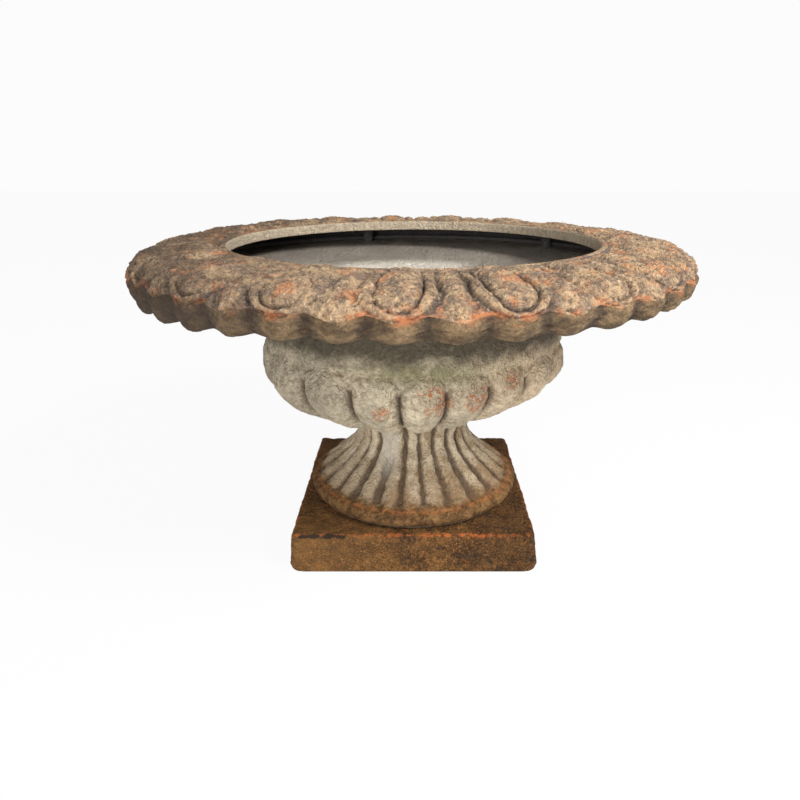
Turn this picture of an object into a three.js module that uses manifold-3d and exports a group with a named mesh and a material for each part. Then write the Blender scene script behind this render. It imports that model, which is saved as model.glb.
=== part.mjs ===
// A low, wide garden urn on a square plinth, in four hollow iron castings.
// Millimetres, +Z up. The origin is the centre of the plinth's underside and -Y is the front.
// The castings stand on each other on rings of mastic. One rod clamps plinth, socle and bowl together,
// and screws hold the rim down on the bowl's flange.

import * as THREE from 'three';
import * as BufferGeometryUtils from 'three/addons/utils/BufferGeometryUtils.js';
import Module from 'manifold-3d';

const wasm = await Module();
wasm.setup();

// Plinth: square, drawn in towards its top and hollow below. The foot stands on its top.
const PLINTH_MARGIN = 6.5;
const PLINTH_BATTER = 6;
const PLINTH_HEIGHT = 57;
const PLINTH_CORNER = 5;
const PLINTH_ARRIS = 6;
const PLINTH_WALL = 14;
const PLINTH_TOP_PLATE = 8;
const PLINTH_SHELF = 32;

// Socle: round foot, fluted waist and a small flare under the bowl
const SOCLE_HEIGHT = 132;
const FOOT_RADIUS = 158.5;
const FOOT_THICKNESS = 20;
const FOOT_BULGE = 8;
const FOOT_WIDTH = 18;
const WAIST_RADIUS = 83;
const WAIST_HEIGHT = 94;
const SOCLE_TOP_RADIUS = 102;
const SOCLE_WALL = 5.5;
const FLUTE_COUNT = 24;
const FLUTE_DEPTH = 5;
const FLUTE_RUNOUT = 9;

// Bowl: gadrooned body, plain neck, and a flaring underside that ends in a flat flange
const BOWL_HEIGHT = 195;
const BOWL_FLOOR = 7;
const BOWL_WALL = 5.5;
const GADROON_RADIUS = 217;
const GADROON_MIDDLE = 70;
const GADROON_TOP = 101;
const GADROON_COUNT = 18;
const GADROON_DEPTH = 12;
const GADROON_RUNOUT = 8;
const GADROON_TURN = 4;
const NECK_RADIUS = 214;
const NECK_TOP = 148;
const FLANGE_WIDTH = 44;
const FLANGE_THICKNESS = 6.5;
const DRAIN_COUNT = 4;
const DRAIN_RADIUS = 7;

// Rim: lip round the mouth, egg-and-dart top, round shoulder, and a drip edge that laps over the flange.
// Its heights are counted from the ledge that rests on the flange. The spreads and lengths of egg and
// shell are shares of half their spacing and of the way from lip to shoulder.
const MOUTH_RADIUS = 254;
const RIM_RADIUS = 379;
const RIM_OVERHANG = 24;
const RIM_WALL = 5.5;
const CROWN_INSET = 28;
const CROWN_HEIGHT = 47;
const SHOULDER_HEIGHT = 15;
const SHOULDER_WIDTH = 18;
const SHOULDER_TOP = 36;
const DRIP_DEPTH = 12;
const DRIP_WIDTH = 8;
const LIP_WIDTH = 8;
const LIP_BOTTOM = 25.5;
const LIP_TOP = 41.2;
const LIP_EDGE = 2.5;
const LIP_GROOVE = 2.5;
const LEDGE_WIDTH = 12;
const LEDGE_THICKNESS = 6;
const EGG_COUNT = 19;
const EGG_TURN = -1.5;
const EGG_DEPTH = 9;
const EGG_RUNOUT = 12;
const EGG_CENTRE = 0.6;
const EGG_SPREAD = 0.42;
const EGG_LENGTH = 0.33;
const SHELL_SPREAD = 0.69;
const SHELL_LENGTH = 0.42;
const SHELL_DROP = 3;
const DART_DROP = 3.5;
const SCALLOP_DEPTH = 4;

// Beds and fixings
const CLEARANCE = 0.3;
const FOOT_BED = 2;
const STEM_BED = 1.5;
const RIM_BED = 1.5;
const BED_MARGIN = 4;
const ROD_RADIUS = 8;
const ROD_PLAY = 1.5;
const ROD_SPARE = 4;
const NUT_WIDTH = 24;
const NUT_HEIGHT = 13;
const LOWER_WASHER_RADIUS = 17;
const UPPER_WASHER_RADIUS = 28;
const WASHER_THICKNESS = 3;
const SEAL_MARGIN = 3;
const SEAL_THICKNESS = 3;
const BAR_BEARING = 17;
const BAR_WIDTH = 40;
const BAR_THICKNESS = 10;
const SCREW_COUNT = 6;
const SCREW_TURN = 15;
const SCREW_INSET = 30;
const SCREW_RADIUS = 4;
const SCREW_PLAY = 0.5;
const SCREW_HEAD_WIDTH = 13;
const SCREW_HEAD_HEIGHT = 5.5;
const SCREW_GRIP = 14;
const LUG_RADIUS = 9;

// How finely the round faces are divided. Each ornament takes a whole number of columns.
const EGG_COLUMNS = 10;
const GADROON_COLUMNS = 6;
const FLUTE_COLUMNS = 4;
const CURVE_STEPS = 3;
const BED_COLUMNS = 40;
const FIXING_COLUMNS = 16;

// Radii that follow from those above
const plinthTopHalf = FOOT_RADIUS + PLINTH_MARGIN;
const plinthHalf = plinthTopHalf + PLINTH_BATTER;
const footInner = FOOT_RADIUS - FOOT_WIDTH;
const plinthHole = footInner - PLINTH_SHELF;
const sealRadius = UPPER_WASHER_RADIUS + SEAL_MARGIN;
const drainCircle = sealRadius + 2 * DRAIN_RADIUS;
const socleMouth = drainCircle + 2 * DRAIN_RADIUS + BED_MARGIN;
const flangeRadius = RIM_RADIUS - RIM_OVERHANG;
const screwCircle = flangeRadius - SCREW_INSET;
const ledgeInner = flangeRadius - LEDGE_WIDTH;
const skirtRadius = flangeRadius + 2 * CLEARANCE;

// Heights of the seats, one above the other
const socleBottom = PLINTH_HEIGHT + FOOT_BED + 2 * CLEARANCE;
const socleTop = socleBottom + SOCLE_HEIGHT;
const bowlBottom = socleTop + STEM_BED + 2 * CLEARANCE;
const flangeTop = bowlBottom + BOWL_HEIGHT;
const rimSeat = flangeTop + RIM_BED + 2 * CLEARANCE;

const paintedIron = { roughness: 0.9, metalness: 0.1 };
const brownPaint = new THREE.MeshStandardMaterial({ color: 0x6a4f33, ...paintedIron });
const creamPaint = new THREE.MeshStandardMaterial({ color: 0xae9d85, ...paintedIron });
const stainedCream = new THREE.MeshStandardMaterial({ color: 0xa8987d, ...paintedIron });
const rustedBrown = new THREE.MeshStandardMaterial({ color: 0x94795f, ...paintedIron });
const mastic = new THREE.MeshStandardMaterial({ color: 0x4b4136, roughness: 0.8, metalness: 0 });
const rubber = new THREE.MeshStandardMaterial({ color: 0x242321, roughness: 0.7, metalness: 0 });
const steel = new THREE.MeshStandardMaterial({ color: 0x7d756b, roughness: 0.55, metalness: 0.8 });

const { lerp, smoothstep, degToRad } = THREE.MathUtils;
const urn = new THREE.Group();

function addPiece(name, geometry, material, height = 0) {
  const mesh = new THREE.Mesh(geometry, material);
  mesh.name = name;
  mesh.position.z = height;
  urn.add(mesh);
}

// Keeps only the positions, so that vertices shared by neighbouring faces become one.
function weld(geometry) {
  const bare = geometry.clone();
  bare.deleteAttribute('normal');
  bare.deleteAttribute('uv');
  return BufferGeometryUtils.mergeVertices(bare);
}

function toSolid(geometry) {
  const welded = weld(geometry);
  const vertProperties = new Float32Array(welded.attributes.position.array);
  const triVerts = new Uint32Array(welded.index.array);
  return new wasm.Manifold(new wasm.Mesh({ numProp: 3, vertProperties, triVerts }));
}

function toGeometry(solid) {
  const mesh = solid.getMesh();
  const geometry = new THREE.BufferGeometry();
  geometry.setAttribute('position', new THREE.BufferAttribute(mesh.vertProperties, 3));
  geometry.setIndex(new THREE.BufferAttribute(mesh.triVerts, 1));
  return geometry;
}

function cut(geometry, tools) {
  return toGeometry(tools.reduce((solid, tool) => solid.subtract(toSolid(tool)), toSolid(geometry)));
}

function join(geometry, additions) {
  return toGeometry(additions.reduce((solid, more) => solid.add(toSolid(more)), toSolid(geometry)));
}

// Carries an outline of radius and height on from its last point. A bend is a control point, given as
// shares of the way in radius and in height.
function sweepTo(outline, radius, height, ...bends) {
  const { x, y } = outline.currentPoint;
  const controls = bends.flatMap(([across, up]) => [lerp(x, radius, across), lerp(y, height, up)]);
  if (bends.length === 1) {
    outline.quadraticCurveTo(...controls, radius, height);
  } else {
    outline.bezierCurveTo(...controls, radius, height);
  }
}

// Height at which an outline first reaches a radius
function heightAt(outline, radius) {
  const points = outline.getPoints(CURVE_STEPS);
  const next = points.findIndex((point) => point.x > radius);
  const start = points[next - 1];
  const end = points[next];
  return lerp(start.y, end.y, (radius - start.x) / (end.x - start.x));
}

// Turns an outline about Z. Its face runs with the metal on its left, and its back leads round to the
// start again. carve says how deep the face is cut at a point and angle, square to the surface.
// Angle 0 is at the front and grows towards +X.
function turn(face, back, columns, carve = () => 0) {
  const facePoints = face.getPoints(CURVE_STEPS);
  const outline = [...facePoints, ...back.getPoints(CURVE_STEPS)];
  const lathe = new THREE.LatheGeometry([...outline, outline[0]], columns);
  const rows = outline.length + 1;
  for (let column = 0; column <= columns; column += 1) {
    const angle = ((column % columns) / columns) * 2 * Math.PI;
    for (let row = 0; row < rows; row += 1) {
      const here = row % outline.length;
      const point = outline[here];
      const before = outline.at(here - 1);
      const after = outline[(here + 1) % outline.length];
      const outward = new THREE.Vector2(after.y - before.y, before.x - after.x).normalize();
      const depth = here < facePoints.length ? carve(point, angle) : 0;
      const radius = point.x - outward.x * depth;
      const height = point.y - outward.y * depth;
      const x = radius * Math.sin(angle);
      const y = -radius * Math.cos(angle);
      lathe.attributes.position.setXYZ(column * rows + row, x, y, height);
    }
  }
  return weld(lathe);
}

// A plain ring of rectangular section that stands on height 0
function ring(innerRadius, outerRadius, thickness, columns = FIXING_COLUMNS) {
  const section = new THREE.Path([
    new THREE.Vector2(innerRadius, 0),
    new THREE.Vector2(outerRadius, 0),
    new THREE.Vector2(outerRadius, thickness),
    new THREE.Vector2(innerRadius, thickness),
  ]);
  return turn(section, new THREE.Path(), columns);
}

// A rod, a bore or, with 6 sides, a hexagon between two heights
function upright(radius, low, high, sides = FIXING_COLUMNS) {
  const cylinder = new THREE.CylinderGeometry(radius, radius, high - low, sides);
  return cylinder.rotateX(Math.PI / 2).translate(0, 0, (low + high) / 2);
}

function placedAround(geometry, count, circleRadius, firstDegrees = 0) {
  return Array.from({ length: count }, (_, index) => {
    const angle = degToRad(firstDegrees) + (index / count) * 2 * Math.PI;
    return geometry.clone().translate(circleRadius * Math.sin(angle), -circleRadius * Math.cos(angle), 0);
  });
}

// How far an angle lies across its ornament: 0 on the crown and 1 half way to the next
function acrossOrnament(count, angle) {
  const turns = (angle * count) / (2 * Math.PI);
  return Math.min(1, 2 * Math.abs(turns - Math.round(turns)));
}

// Share of the full depth that a half-round ornament falls away by
function halfRound(across) {
  return 1 - Math.sqrt(1 - across * across);
}

// Depth below the crown of an egg, of the shell that cups it and of the dart between two shells. along
// is the share of the way from the lip to the shoulder.
function eggAndDart(across, along) {
  const pastCentre = Math.max(0, along - EGG_CENTRE);
  const fromEgg = Math.hypot(across / EGG_SPREAD, pastCentre / EGG_LENGTH);
  const fromShell = Math.hypot(across / SHELL_SPREAD, pastCentre / SHELL_LENGTH);
  if (fromEgg < 1) {
    return EGG_DEPTH * halfRound(fromEgg);
  }
  if (fromShell < 1) {
    return SHELL_DROP;
  }
  const offDart = (1 - across) / (1 - SHELL_SPREAD);
  return lerp(DART_DROP, EGG_DEPTH, offDart * offDart);
}

function roundedSquare(halfWidth, corner) {
  const straight = halfWidth - corner;
  const shape = new THREE.Shape();
  shape.absarc(straight, -straight, corner, -Math.PI / 2, 0);
  shape.absarc(straight, straight, corner, 0, Math.PI / 2);
  shape.absarc(-straight, straight, corner, Math.PI / 2, Math.PI);
  shape.absarc(-straight, -straight, corner, Math.PI, 1.5 * Math.PI);
  return shape;
}

// Draws a square block in towards its top, as the plinth's sides are.
function batter(geometry) {
  const position = geometry.attributes.position;
  for (let index = 0; index < position.count; index += 1) {
    const scale = lerp(1, plinthTopHalf / plinthHalf, position.getZ(index) / PLINTH_HEIGHT);
    position.setXY(index, position.getX(index) * scale, position.getY(index) * scale);
  }
  return geometry;
}

function makePlinth() {
  const outside = new THREE.ExtrudeGeometry(roundedSquare(plinthHalf - PLINTH_ARRIS, PLINTH_CORNER), {
    depth: PLINTH_HEIGHT - 2 * PLINTH_ARRIS,
    bevelThickness: PLINTH_ARRIS,
    bevelSize: PLINTH_ARRIS,
    bevelSegments: 3,
    curveSegments: 3,
  });
  outside.translate(0, 0, PLINTH_ARRIS);
  const past = 5;
  const hollow = new THREE.ExtrudeGeometry(roundedSquare(plinthHalf - PLINTH_WALL, PLINTH_CORNER), {
    depth: PLINTH_HEIGHT - PLINTH_TOP_PLATE + past,
    bevelEnabled: false,
    curveSegments: 3,
  });
  hollow.translate(0, 0, -past);
  const hole = upright(plinthHole, 0, PLINTH_HEIGHT + past, BED_COLUMNS);
  return cut(batter(outside), [batter(hollow), hole]);
}

function makeSocle() {
  const fluteStart = FOOT_THICKNESS + 1.5;
  const flareEnd = SOCLE_HEIGHT - 4;
  const footMiddle = FOOT_THICKNESS / 2;
  const face = new THREE.Path();
  face.absellipse(FOOT_RADIUS - FOOT_BULGE, footMiddle, FOOT_BULGE, footMiddle, -Math.PI / 2, Math.PI / 2);
  face.lineTo(FOOT_RADIUS - FOOT_BULGE, fluteStart);
  sweepTo(face, WAIST_RADIUS, WAIST_HEIGHT, [0.28, 0.25], [1, 0.65]);
  sweepTo(face, SOCLE_TOP_RADIUS, flareEnd, [0, 0.45], [0.4, 0.85]);
  face.lineTo(SOCLE_TOP_RADIUS, SOCLE_HEIGHT);

  const innerWaist = WAIST_RADIUS - FLUTE_DEPTH - SOCLE_WALL;
  const back = new THREE.Path();
  back.moveTo(socleMouth, SOCLE_HEIGHT);
  back.lineTo(socleMouth, SOCLE_HEIGHT - SOCLE_WALL);
  back.lineTo(innerWaist, lerp(WAIST_HEIGHT, SOCLE_HEIGHT, 0.4));
  back.lineTo(innerWaist, WAIST_HEIGHT);
  sweepTo(back, footInner, FOOT_THICKNESS - SOCLE_WALL, [0, 0.4], [0.55, 0.72]);
  back.lineTo(footInner, 0);

  const carve = (point, angle) => {
    const aboveFoot = smoothstep(point.y, fluteStart, fluteStart + FLUTE_RUNOUT);
    const belowFlare = 1 - smoothstep(point.y, flareEnd - FLUTE_RUNOUT, flareEnd);
    return FLUTE_DEPTH * aboveFoot * belowFlare * halfRound(acrossOrnament(FLUTE_COUNT, angle));
  };
  return turn(face, back, FLUTE_COUNT * FLUTE_COLUMNS, carve);
}

function makeBowl() {
  const rodHole = ROD_RADIUS + ROD_PLAY;
  const seatRadius = SOCLE_TOP_RADIUS + 2;
  const flangeStart = flangeRadius - FLANGE_WIDTH;
  const flangeBottom = BOWL_HEIGHT - FLANGE_THICKNESS;
  const neckStart = GADROON_TOP + 3;
  const face = new THREE.Path();
  face.moveTo(rodHole, 0);
  face.lineTo(seatRadius, 0);
  sweepTo(face, GADROON_RADIUS, GADROON_MIDDLE, [0.41, 0.11], [0.95, 0.48]);
  sweepTo(face, GADROON_RADIUS - 0.7 * GADROON_DEPTH, GADROON_TOP, [0, 0.85]);
  face.lineTo(NECK_RADIUS, neckStart);
  face.lineTo(NECK_RADIUS, NECK_TOP);
  sweepTo(face, flangeStart, flangeBottom, [0.03, 0.5], [0.45, 0.85]);
  face.lineTo(flangeRadius, flangeBottom);
  face.lineTo(flangeRadius, BOWL_HEIGHT);

  const innerNeck = NECK_RADIUS - BOWL_WALL;
  const innerBody = GADROON_RADIUS - GADROON_DEPTH - BOWL_WALL;
  const back = new THREE.Path();
  back.moveTo(flangeStart, BOWL_HEIGHT);
  sweepTo(back, innerNeck, NECK_TOP, [0.55, 0.14], [0.98, 0.51]);
  back.lineTo(innerNeck, lerp(GADROON_TOP, NECK_TOP, 0.4));
  back.lineTo(innerBody, GADROON_TOP);
  back.lineTo(innerBody, (GADROON_MIDDLE + GADROON_TOP) / 2);
  sweepTo(back, seatRadius, BOWL_FLOOR, [0, 0.4], [0.5, 0.8]);
  back.lineTo(rodHole, BOWL_FLOOR);

  const carve = (point, angle) => {
    const below = smoothstep(point.y, 0, 0.6 * GADROON_MIDDLE);
    const above = 1 - smoothstep(point.y, GADROON_TOP - GADROON_RUNOUT, neckStart);
    return GADROON_DEPTH * below * above * halfRound(acrossOrnament(GADROON_COUNT, angle));
  };
  const body = turn(face, back, GADROON_COUNT * GADROON_COLUMNS, carve);
  body.rotateZ(degToRad(GADROON_TURN));
  const past = 5;
  const drain = upright(DRAIN_RADIUS, -past, BOWL_FLOOR + past);
  const screwHole = upright(SCREW_RADIUS + SCREW_PLAY, flangeBottom - past, BOWL_HEIGHT + past);
  return cut(body, [
    ...placedAround(drain, DRAIN_COUNT, drainCircle, 180 / DRAIN_COUNT),
    ...placedAround(screwHole, SCREW_COUNT, screwCircle, SCREW_TURN),
  ]);
}

function makeRim() {
  const lipOuter = MOUTH_RADIUS + LIP_WIDTH;
  const eggsStart = lipOuter + 3;
  const crownRadius = lipOuter + CROWN_INSET;
  const dripOuter = skirtRadius + DRIP_WIDTH;
  const face = new THREE.Path();
  face.moveTo(skirtRadius, 2 - DRIP_DEPTH);
  face.lineTo(skirtRadius + 2, -DRIP_DEPTH);
  face.lineTo(dripOuter, -DRIP_DEPTH);
  sweepTo(face, RIM_RADIUS, SHOULDER_HEIGHT, [0.9, -0.05]);
  sweepTo(face, RIM_RADIUS - SHOULDER_WIDTH, SHOULDER_TOP, [0.08, 0.6]);
  sweepTo(face, crownRadius, CROWN_HEIGHT, [0.3, 0.62]);
  sweepTo(face, eggsStart, LIP_TOP - LIP_GROOVE, [0.8, 0]);
  face.lineTo(lipOuter, LIP_TOP);
  face.lineTo(MOUTH_RADIUS + LIP_EDGE, LIP_TOP);
  face.lineTo(MOUTH_RADIUS, LIP_TOP - LIP_EDGE);

  const ceiling = CROWN_HEIGHT - EGG_DEPTH - RIM_WALL;
  const innerShoulder = RIM_RADIUS - EGG_DEPTH - 1.3 * RIM_WALL;
  const back = new THREE.Path();
  back.moveTo(MOUTH_RADIUS, LIP_BOTTOM);
  back.lineTo(lipOuter, LIP_BOTTOM);
  back.lineTo(lipOuter + RIM_WALL, ceiling - 2);
  back.lineTo(crownRadius, ceiling);
  sweepTo(back, innerShoulder, SHOULDER_HEIGHT - 2, [0.5, 0.15], [0.9, 0.5]);
  back.lineTo(lerp(skirtRadius, innerShoulder, 0.6), LEDGE_THICKNESS);
  back.lineTo(ledgeInner, LEDGE_THICKNESS);
  back.lineTo(ledgeInner, 0);
  back.lineTo(skirtRadius, 0);

  const wayToShoulder = RIM_RADIUS - eggsStart + CROWN_HEIGHT - SHOULDER_HEIGHT;
  const carve = (point, angle) => {
    const along = (point.x - eggsStart + CROWN_HEIGHT - point.y) / wayToShoulder;
    const pastLip = smoothstep(point.x, eggsStart, eggsStart + EGG_RUNOUT);
    const pastSkirt = smoothstep(point.x, skirtRadius + 1, dripOuter);
    const onTop = 1 - smoothstep(along, EGG_CENTRE + EGG_LENGTH, 1);
    const eggs = eggAndDart(acrossOrnament(EGG_COUNT, angle), along);
    const scallops = SCALLOP_DEPTH * Math.sin((Math.PI / 2) * acrossOrnament(2 * EGG_COUNT, angle)) ** 2;
    return onTop * pastLip * eggs + (1 - onTop) * pastSkirt * scallops;
  };
  const body = turn(face, back, EGG_COUNT * EGG_COLUMNS, carve);
  body.rotateZ(degToRad(EGG_TURN));
  const lugBottom = flangeTop + CLEARANCE - rimSeat;
  const lugTop = heightAt(back, screwCircle + LUG_RADIUS) + RIM_WALL / 3;
  const lug = upright(LUG_RADIUS, lugBottom, lugTop);
  const thread = upright(SCREW_RADIUS + CLEARANCE, lugBottom - 1, SCREW_GRIP + 2);
  const withLugs = join(body, placedAround(lug, SCREW_COUNT, screwCircle, SCREW_TURN));
  return cut(withLugs, placedAround(thread, SCREW_COUNT, screwCircle, SCREW_TURN));
}

function makeNut() {
  const hexagon = upright(NUT_WIDTH / Math.sqrt(3), 0, NUT_HEIGHT, 6);
  return cut(hexagon, [upright(ROD_RADIUS + CLEARANCE, -1, NUT_HEIGHT + 1)]);
}

function makeBar() {
  const length = 2 * (plinthHole + BAR_BEARING);
  const bar = new THREE.BoxGeometry(length, BAR_WIDTH, BAR_THICKNESS).translate(0, 0, BAR_THICKNESS / 2);
  return cut(bar, [upright(ROD_RADIUS + CLEARANCE, -1, BAR_THICKNESS + 1)]);
}

// The screw's head hangs below height 0 and its shank stands above.
function makeScrew() {
  const head = upright(SCREW_HEAD_WIDTH / Math.sqrt(3), -SCREW_HEAD_HEIGHT, 0, 6);
  const length = FLANGE_THICKNESS + CLEARANCE + rimSeat - flangeTop + SCREW_GRIP;
  return join(head, [upright(SCREW_RADIUS, -SCREW_HEAD_HEIGHT / 2, length)]);
}

addPiece('plinth', makePlinth(), brownPaint);
addPiece('socle', makeSocle(), stainedCream, socleBottom);
addPiece('bowl', makeBowl(), creamPaint, bowlBottom);
addPiece('rim', makeRim(), rustedBrown, rimSeat);

const footBed = ring(footInner + BED_MARGIN, FOOT_RADIUS - FOOT_BULGE, FOOT_BED, BED_COLUMNS);
addPiece('foot_bedding', footBed, mastic, PLINTH_HEIGHT + CLEARANCE);
const stemBed = ring(socleMouth + BED_MARGIN, SOCLE_TOP_RADIUS - BED_MARGIN, STEM_BED, BED_COLUMNS);
addPiece('stem_bedding', stemBed, mastic, socleTop + CLEARANCE);
const rimBed = ring(ledgeInner + 1, flangeRadius - 1, RIM_BED, BED_COLUMNS);
addPiece('rim_bedding', rimBed, mastic, flangeTop + CLEARANCE);

const washerHole = ROD_RADIUS + CLEARANCE;
const barBottom = PLINTH_HEIGHT - PLINTH_TOP_PLATE - CLEARANCE - BAR_THICKNESS;
const lowerWasherBottom = barBottom - CLEARANCE - WASHER_THICKNESS;
const lowerNutBottom = lowerWasherBottom - CLEARANCE - NUT_HEIGHT;
addPiece('tie_bar', makeBar(), steel, barBottom);
addPiece('lower_washer', ring(washerHole, LOWER_WASHER_RADIUS, WASHER_THICKNESS), steel, lowerWasherBottom);
addPiece('lower_nut', makeNut(), steel, lowerNutBottom);

const sealBottom = bowlBottom + BOWL_FLOOR + CLEARANCE;
const upperWasherBottom = sealBottom + SEAL_THICKNESS + CLEARANCE;
const upperNutBottom = upperWasherBottom + WASHER_THICKNESS + CLEARANCE;
addPiece('floor_seal', ring(washerHole, sealRadius, SEAL_THICKNESS), rubber, sealBottom);
addPiece('upper_washer', ring(washerHole, UPPER_WASHER_RADIUS, WASHER_THICKNESS), steel, upperWasherBottom);
addPiece('upper_nut', makeNut(), steel, upperNutBottom);
const rod = upright(ROD_RADIUS, lowerNutBottom - ROD_SPARE, upperNutBottom + NUT_HEIGHT + ROD_SPARE);
addPiece('tie_rod', rod, steel);

const screwSeat = flangeTop - FLANGE_THICKNESS - CLEARANCE;
placedAround(makeScrew(), SCREW_COUNT, screwCircle, SCREW_TURN).forEach((screw, index) => {
  addPiece(`rim_screw_${index + 1}`, screw, steel, screwSeat);
});

export default urn;
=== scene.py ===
import math

import bpy
import numpy as np
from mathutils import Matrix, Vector, noise


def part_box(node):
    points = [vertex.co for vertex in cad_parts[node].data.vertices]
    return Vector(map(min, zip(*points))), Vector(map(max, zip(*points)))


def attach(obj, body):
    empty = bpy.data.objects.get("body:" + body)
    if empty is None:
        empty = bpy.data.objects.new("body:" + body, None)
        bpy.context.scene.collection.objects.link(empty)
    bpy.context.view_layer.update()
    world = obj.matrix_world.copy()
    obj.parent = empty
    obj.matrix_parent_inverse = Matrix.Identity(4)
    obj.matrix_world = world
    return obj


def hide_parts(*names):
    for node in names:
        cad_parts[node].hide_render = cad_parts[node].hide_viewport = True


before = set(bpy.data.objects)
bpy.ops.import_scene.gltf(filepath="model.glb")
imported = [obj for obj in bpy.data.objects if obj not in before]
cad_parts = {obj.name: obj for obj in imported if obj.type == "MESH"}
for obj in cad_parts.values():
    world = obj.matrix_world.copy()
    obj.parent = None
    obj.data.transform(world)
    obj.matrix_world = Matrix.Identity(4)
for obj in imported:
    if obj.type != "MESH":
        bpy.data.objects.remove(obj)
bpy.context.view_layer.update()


# ---------------------------------------------------------------------------------------------
# Plinth. A square block cast hollow in iron, with sides that draw in a little towards the top and
# arrises worn round. The rod and its bar clamp it from below. Its paint has weathered to a dark
# earthy brown, and rust shows at the edges.

PLINTH_ROW, PLINTH_COLUMNS = 0.0022, 560
PLINTH_WEAR = 0.0022
PLINTH_SPARE = 0.0020
PLINTH_TAPER, HOLLOW_TAPER = 0.0055, 0.005
PLINTH_CORNER, PLINTH_FOOT_CORNER, FOOT_CORNER_HIGH = 0.005, 0.020, 0.014
PLINTH_FOOT_RING, PLINTH_PLATE, PLINTH_HOLE = 0.013, 0.008, 0.1085
SQUARE_IN = 0.008
DENT_MEAN = 0.0007
DENTS = ((0.0009, 0.045, 3.1), (0.0012, 0.011, 8.4), (0.0006, 0.005, 9.3))
ARRIS_IN, ARRIS_WIDE = 0.0015, 0.0045
CHIP_START, CHIP_END, CHIP_RISE, CHIP_WANE = -0.160, -0.088, 0.008, 0.010
CHIP_DOWN, CHIP_HIGH, CHIP_BACK, CHIP_DEPTH = 0.003, 0.0055, 0.02, 0.0030


def worn_outline(corners, row, wear):
    """Even points round a closed outline of (reach, height) corners, with its edges worn round."""
    loop = np.array([*corners, corners[0]], float)
    along = np.r_[0, np.cumsum(np.hypot(*np.diff(loop, axis=0).T))]
    stations = np.linspace(0, along[-1], round(along[-1] / row), endpoint=False)
    outline = np.c_[np.interp(stations, along, loop[:, 0]), np.interp(stations, along, loop[:, 1])]
    for _ in range(round(2 * (wear / row) ** 2)):
        outline = (np.roll(outline, 1, axis=0) + 2 * outline + np.roll(outline, -1, axis=0)) / 4
    return outline


def around(columns):
    """Angles round the urn, as a column. 0 is at the front and angles grow to the viewer's right."""
    return np.linspace(0, 2 * np.pi, columns, endpoint=False)[:, None]


def at_reach(reach, angles, height):
    """Points at a distance from the axis, seen at an angle round it and at a height."""
    x, y = reach * np.sin(angles), -reach * np.cos(angles)
    return np.stack(np.broadcast_arrays(x, y, height), axis=-1)


def outward(points):
    """Unit normals of a closed surface whose points are laid out as columns of rows."""
    across = np.roll(points, -1, axis=0) - np.roll(points, 1, axis=0)
    along = np.roll(points, -1, axis=1) - np.roll(points, 1, axis=1)
    normals = np.cross(across, along)
    return normals / np.linalg.norm(normals, axis=-1, keepdims=True)


def lumps(points, size, seed):
    """An even random swelling, from -1 to 1, whose lumps are about as large as size."""
    shifted = (points / size + seed).reshape(-1, 3)
    return np.array([noise.noise(place) for place in shifted.tolist()]).reshape(points.shape[:-1])


def swellings(points, kinds):
    """Random swellings added up. A kind is (height, size of its lumps, seed)."""
    return sum(height * lumps(points, size, seed) for height, size, seed in kinds)


def fade(value, start, end):
    """0 up to start, 1 from end on, and smooth between them. end may be the lower of the two."""
    share = np.clip((value - start) / (end - start), 0, 1)
    return share * share * (3 - 2 * share)


def near(distance, size):
    """1 at no distance, and fading to almost nothing at twice size."""
    return np.exp(-((distance / size) ** 2))


def cast(name, points, slot, **marks):
    """Makes a closed casting of points laid out as columns of rows, and rides it on the frame."""
    columns, rows = points.shape[:2]
    number = np.arange(columns * rows).reshape(columns, rows)
    beside = np.roll(number, -1, axis=0)
    quads = np.stack([number, beside, np.roll(beside, -1, axis=1), np.roll(number, -1, axis=1)], axis=-1)
    mesh = bpy.data.meshes.new(name)
    mesh.vertices.add(number.size)
    mesh.vertices.foreach_set("co", points.ravel())
    mesh.loops.add(quads.size)
    mesh.loops.foreach_set("vertex_index", quads.ravel())
    mesh.polygons.add(number.size)
    mesh.polygons.foreach_set("loop_start", np.arange(0, quads.size, 4))
    mesh.polygons.foreach_set("use_smooth", np.ones(number.size, bool))
    mesh.update(calc_edges=True)
    for mark, values in marks.items():
        layer = mesh.attributes.new(mark, "FLOAT", "POINT")
        layer.data.foreach_set("value", np.broadcast_to(values, points.shape[:2]).ravel())
    piece = bpy.data.objects.new(name, mesh)
    bpy.context.scene.collection.objects.link(piece)
    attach(piece, "root")
    return piece


def square_reach(half, corner, angles):
    """Distance from the centre of a square with round corners to its edge, at each angle."""
    longer = np.maximum(abs(np.sin(angles)), abs(np.cos(angles)))
    shorter = np.minimum(abs(np.sin(angles)), abs(np.cos(angles)))
    middle = (half - corner) * (longer + shorter)
    round_part = middle + np.sqrt(np.maximum(middle**2 - 2 * (half - corner) ** 2 + corner**2, 0))
    return np.where(half * shorter / longer < half - corner, half / longer, round_part)


def colour(red, green, blue):
    """A paint colour given as 0 to 255, in the light values that the shader takes."""
    channels = np.array([red, green, blue]) / 255
    light = np.where(channels < 0.04045, channels / 12.92, ((channels + 0.055) / 1.055) ** 2.4)
    return (*light, 1.0)


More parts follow.
